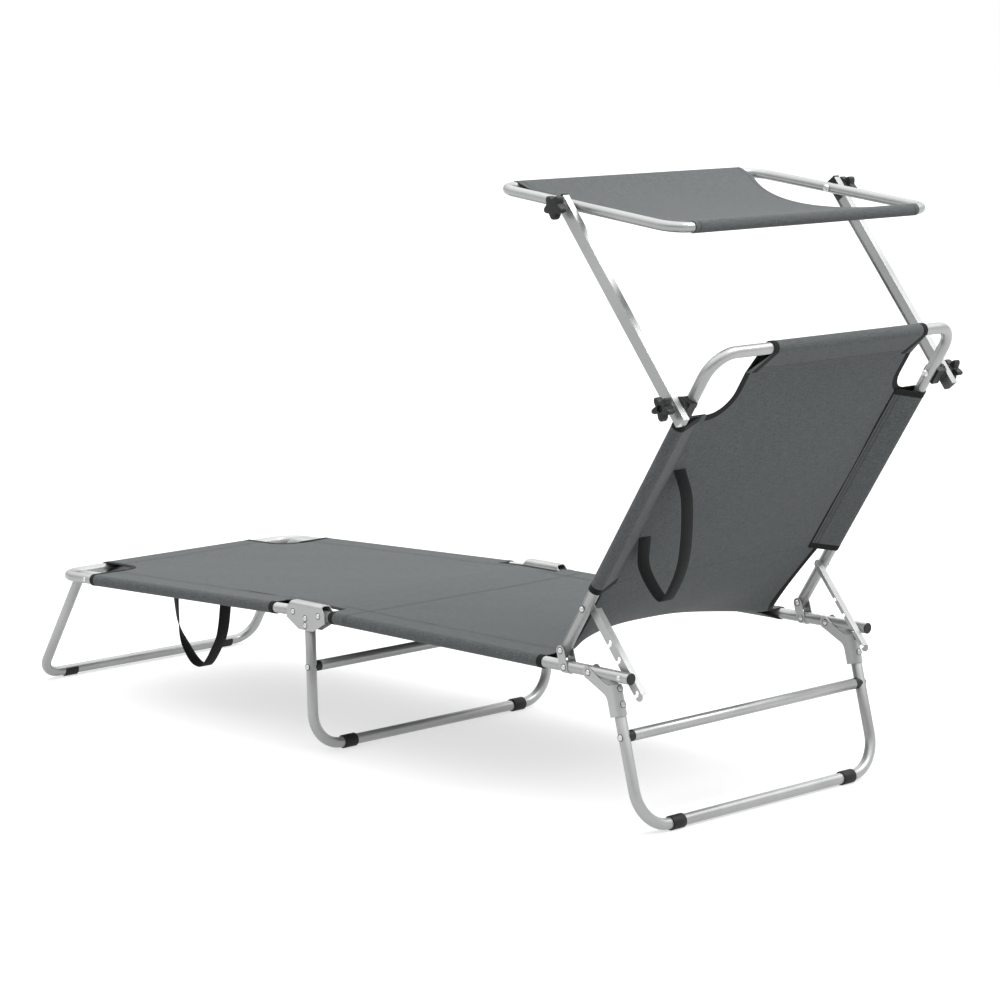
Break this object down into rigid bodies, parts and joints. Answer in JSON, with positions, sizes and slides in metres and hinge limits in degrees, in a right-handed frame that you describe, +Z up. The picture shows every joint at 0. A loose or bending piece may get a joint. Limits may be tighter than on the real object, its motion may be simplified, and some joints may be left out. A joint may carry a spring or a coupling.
{
  "type": "sun lounger",
  "caption": "Folding sun lounger with reclining backrest, notched support struts, folding legs and a tilting shade canopy.",
  "frame": {"origin": "centre of the footprint on the floor, under the middle of the overall box", "axes": "+Z up, +Y from the foot end towards the head end, +X to the right of someone looking from the foot end to the head end"},
  "size_m": [0.6732, 1.7577, 0.9759],
  "materials": {
    "frame": "satin silver powder coat",
    "plate": "satin silver powder coat on pressed plate",
    "canopy_metal": "satin",
    "hardware": "bright zinc",
    "plastic": "fine grained moulding",
    "foot": "soft matte moulding",
    "cloth": "woven outdoor cloth",
    "webbing": "flat woven webbing"
  },
  "bodies": {
    "seat_frame": {"seat_rail_right": "frame", "seat_rail_left": "frame", "rail_plug_right": "plastic", "rail_plug_left": "plastic", "hinge_link_right": "plate", "hinge_link_left": "plate", "strut_pin_right": "hardware", "strut_pin_left": "hardware", "seat_sling": "cloth", "sling_bridge": "cloth"},
    "mid_leg": {"mid_bracket_right": "plate", "mid_bracket_left": "plate", "mid_leg_tube": "frame", "mid_crossbar": "frame", "mid_saddle_right": "plastic", "mid_saddle_left": "plastic", "mid_foot_pad_right": "foot", "mid_foot_pad_left": "foot", "sling_mid": "cloth"},
    "foot_frame": {"foot_frame_tube": "frame", "foot_sling": "cloth", "foot_strap": "webbing", "foot_leg_rivet_right": "hardware", "foot_leg_rivet_left": "hardware"},
    "foot_leg": {"foot_leg_tube": "frame", "foot_leg_pad_right": "foot", "foot_leg_pad_left": "foot"},
    "head_leg": {"head_leg_tube": "frame", "head_bracket_right": "plate", "head_bracket_left": "plate", "head_crossbar": "frame", "head_saddle_right": "plastic", "head_saddle_left": "plastic", "head_foot_pad_right": "foot", "head_foot_pad_left": "foot"},
    "backrest": {"backrest_tube": "frame", "back_sling": "cloth", "back_strap": "webbing", "clamp_right": "plastic", "clamp_left": "plastic", "clamp_bolt_right": "hardware", "clamp_bolt_left": "hardware"},
    "strut_right": {"strut_right": "plate"},
    "strut_left": {"strut_left": "plate"},
    "canopy_arms": {"canopy_arm_right": "canopy_metal", "canopy_arm_left": "canopy_metal", "arm_cap_right": "plastic", "arm_cap_left": "plastic", "clamp_disc_right": "plastic", "clamp_disc_left": "plastic"},
    "canopy": {"canopy_frame_tube": "canopy_metal", "canopy_fabric": "cloth", "canopy_bolt_right": "hardware", "canopy_bolt_left": "hardware"},
    "clamp_knob_right": {"clamp_knob_right": "plastic"},
    "clamp_knob_left": {"clamp_knob_left": "plastic"},
    "canopy_knob_right": {"canopy_knob_right": "plastic"},
    "canopy_knob_left": {"canopy_knob_left": "plastic"}
  },
  "joints": [
    {"name": "mid_fold", "type": "hinge", "parent": "seat_frame", "child": "mid_leg", "pos_m": [0, -0.01789, 0.241], "axis": [1, 0, 0], "range_deg": [0, 90], "deforming": ["foot_strap"]},
    {"name": "foot_fold", "type": "hinge", "parent": "mid_leg", "child": "foot_frame", "pos_m": [0, -0.08289, 0.241], "axis": [1, 0, 0], "range_deg": [0, 88], "deforming": ["foot_strap"]},
    {"name": "foot_leg_fold", "type": "hinge", "parent": "foot_frame", "child": "foot_leg", "pos_m": [0, -0.67591, 0.21977], "axis": [1, 0, 0], "range_deg": [0, 125], "deforming": ["foot_strap"]},
    {"name": "head_leg_fold", "type": "hinge", "parent": "seat_frame", "child": "head_leg", "pos_m": [0, 0.61681, 0.241], "axis": [-1, 0, 0], "range_deg": [0, 104]},
    {"name": "recline", "type": "hinge", "parent": "seat_frame", "child": "backrest", "pos_m": [0, 0.55681, 0.266], "axis": [1, 0, 0], "range_deg": [-56.8, 22], "deforming": ["sling_bridge"]},
    {"name": "strut_right_swing", "type": "hinge", "parent": "backrest", "child": "strut_right", "pos_m": [0, 0.60281, 0.33629], "axis": [1, 0, 0], "range_deg": [-22, 56.8]},
    {"name": "strut_left_swing", "type": "hinge", "parent": "backrest", "child": "strut_left", "pos_m": [0, 0.60281, 0.33629], "axis": [1, 0, 0], "range_deg": [-22, 56.8]},
    {"name": "arm_swing", "type": "hinge", "parent": "backrest", "child": "canopy_arms", "pos_m": [0, 0.81855, 0.66597], "axis": [1, 0, 0], "range_deg": [-90, 75]},
    {"name": "canopy_tilt", "type": "hinge", "parent": "canopy_arms", "child": "canopy", "pos_m": [0, 0.59839, 0.94675], "axis": [1, 0, 0], "range_deg": [-60, 60]},
    {"name": "clamp_knob_right_turn", "type": "hinge", "parent": "canopy_arms", "child": "clamp_knob_right", "pos_m": [0.33, 0.81855, 0.66597], "axis": [1, 0, 0], "continuous": true},
    {"name": "canopy_knob_right_turn", "type": "hinge", "parent": "canopy_arms", "child": "canopy_knob_right", "pos_m": [0.33, 0.59839, 0.94675], "axis": [1, 0, 0], "continuous": true},
    {"name": "clamp_knob_left_turn", "type": "hinge", "parent": "canopy_arms", "child": "clamp_knob_left", "pos_m": [-0.33, 0.81855, 0.66597], "axis": [1, 0, 0], "continuous": true},
    {"name": "canopy_knob_left_turn", "type": "hinge", "parent": "canopy_arms", "child": "canopy_knob_left", "pos_m": [-0.33, 0.59839, 0.94675], "axis": [1, 0, 0], "continuous": true}
  ],
  "couplings": [
    {"joint": "strut_right_swing", "follows": "recline", "ratio": -1},
    {"joint": "strut_left_swing", "follows": "recline", "ratio": -1}
  ]
}
